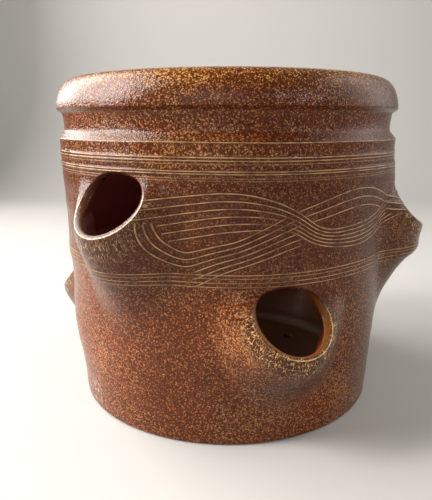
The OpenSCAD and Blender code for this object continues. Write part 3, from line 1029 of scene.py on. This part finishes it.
def stoneware(name):
    """Salt-glazed stoneware; every piece shares it, so that the glaze runs on across the joints."""
    g = Graph(name)
    where = g.add("ShaderNodeTexCoord", 3)
    colour, peel, fleck = salt_glaze(g, where)
    pale, groove_shade = drawn_lines(g, where)
    # Painted shade in the grooves beside the drawn lines
    colour = g.mix(g.times(groove_shade, 0.9), colour, GROOVE_SHADE)
    # Pale thin ridges, and on the shoulder ridge a painted highlight
    colour = g.mix(g.times(pale, 0.80), colour, PALE_RIDGE_AND_HIGHLIGHT)
    # Smooth dark glaze inside
    up = g.add("ShaderNodeSeparateXYZ", 2, Vector=where)
    colour = g.mix(g.fact("liner"), colour, g.mix(g.fade(up, 0.01, 0.09), LINER_OLIVE, LINER_RED))
    g.plug(g.shader.inputs["Base Color"], lip_glaze(g, colour, peel, fleck))
    rough = g.plus(g.fade(peel, 0.3, 0.8, 0.17, 0.28), g.times(g.fact("liner"), 0.35))
    g.plug(g.shader.inputs["Roughness"], rough)
    g.plug(g.shader.inputs["Specular IOR Level"], 0.22)
    bump = g.add("ShaderNodeBump", Strength=0.55, Distance=0.00032, Height=g.plus(peel, pale))
    g.plug(g.shader.inputs["Normal"], bump)
    return g.material


# ---------------------------------------------------------------- the pot
wall_shell, rim_angles = make_wall()
shells = [wall_shell, make_collar(), make_floor()] + [make_pocket(n, rim_angles[n]) for n in POCKETS]
slots = ("wall_stoneware", "rim_stoneware", "pocket_stoneware", "floor_stoneware")
materials = {slot: stoneware(slot) for slot in slots}
for shell, piece, node in zip(shells, build(shells), ["wall", "rim_collar", "floor", *POCKETS]):
    piece.data.materials.append(materials[shell.slot])
    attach(piece, "root")
    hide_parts(node)

# ---------------------------------------------------------------- floor, light and camera, in metres
STAGE_COLOUR = (0.47, 0.455, 0.43, 1)
STAGE_HALF_W = 2.6
STAGE_FRONT_Y = -1.6
STAGE_BEND_Y = 1.1
STAGE_BEND_R = 0.5
BACKDROP_H = 2.6
# Where each light is and what it faces, its size, power and colour
LIGHTS = {
    "window": ((-1.02, 0.27, 1.10), (0, 0, 1.10), (1.5, 1.6), 58.0, (1.0, 0.98, 0.96)),
    "pane": ((-1.02, -0.27, 0.90), (0, 0, 0.90), (0.36, 1.2), 25.0, (1.0, 0.98, 0.96)),
    "lamp": ((0.92, -0.92, 0.60), (0, 0, 0.20), (0.12, 0.12), 3.2, (1.0, 0.97, 0.93)),
    "right": ((1.20, 0.20, 0.75), (0, 0, 0.18), (1.2, 1.2), 9.0, (1.0, 0.98, 0.95)),
    "front": ((-0.30, -1.7, 0.75), (0, 0, 0.08), (1.0, 0.6), 7.0, (1.0, 0.97, 0.94)),
}
SKY = (0.95, 0.94, 0.92, 1)
SKY_STRENGTH = 0.20
CAMERA_AT = (-0.00823, -0.4381, 0.20935)
CAMERA_DOWN = 13.046        # degrees under level
LENS = 38.4                 # mm, on a sensor 36 mm wide


def make_stage():
    """A pale floor that curves up into a backdrop."""
    bend = np.linspace(0, np.pi / 2, 13)[1:]
    profile = [(STAGE_FRONT_Y, 0.0), (STAGE_BEND_Y, 0.0)]
    profile += [(STAGE_BEND_Y + STAGE_BEND_R * np.sin(a), STAGE_BEND_R * (1 - np.cos(a))) for a in bend]
    profile += [(STAGE_BEND_Y + STAGE_BEND_R, BACKDROP_H)]
    points = [(x, y, z) for y, z in profile for x in (-STAGE_HALF_W, STAGE_HALF_W)]
    faces = [(2 * i, 2 * i + 1, 2 * i + 3, 2 * i + 2) for i in range(len(profile) - 1)]
    mesh = bpy.data.meshes.new("stage")
    mesh.from_pydata(points, [], faces)
    mesh.polygons.foreach_set("use_smooth", [True] * len(faces))
    g = Graph("pale_floor")
    g.plug(g.shader.inputs["Base Color"], STAGE_COLOUR)
    g.plug(g.shader.inputs["Roughness"], 0.7)
    mesh.materials.append(g.material)
    obj = bpy.data.objects.new("stage", mesh)
    bpy.context.scene.collection.objects.link(obj)


def area_light(name, at, aim, size, power, colour):
    """A flat light at one place that faces another."""
    data = bpy.data.lights.new(name, "AREA")
    data.shape, data.size, data.size_y = "RECTANGLE", *size
    data.energy, data.color = power, colour
    obj = bpy.data.objects.new(name, data)
    obj.location = at
    obj.rotation_euler = (Vector(aim) - Vector(at)).to_track_quat("-Z", "Y").to_euler()
    bpy.context.scene.collection.objects.link(obj)


def make_sky():
    """Even light from all round."""
    world = bpy.data.worlds.new("studio")
    world.use_nodes = True
    background = world.node_tree.nodes["Background"]
    background.inputs["Color"].default_value = SKY
    background.inputs["Strength"].default_value = SKY_STRENGTH
    bpy.context.scene.world = world


make_stage()
for light_name, settings in LIGHTS.items():
    area_light(light_name, *settings)
make_sky()

camera = bpy.data.objects.new("camera", bpy.data.cameras.new("camera"))
camera.location = CAMERA_AT
camera.rotation_euler = (np.radians(90 - CAMERA_DOWN), 0, 0)
camera.data.sensor_width = 36
camera.data.lens = LENS
camera.data.clip_start = 0.01
bpy.context.scene.collection.objects.link(camera)
bpy.context.scene.camera = camera
bpy.context.scene.view_settings.view_transform = "Standard"
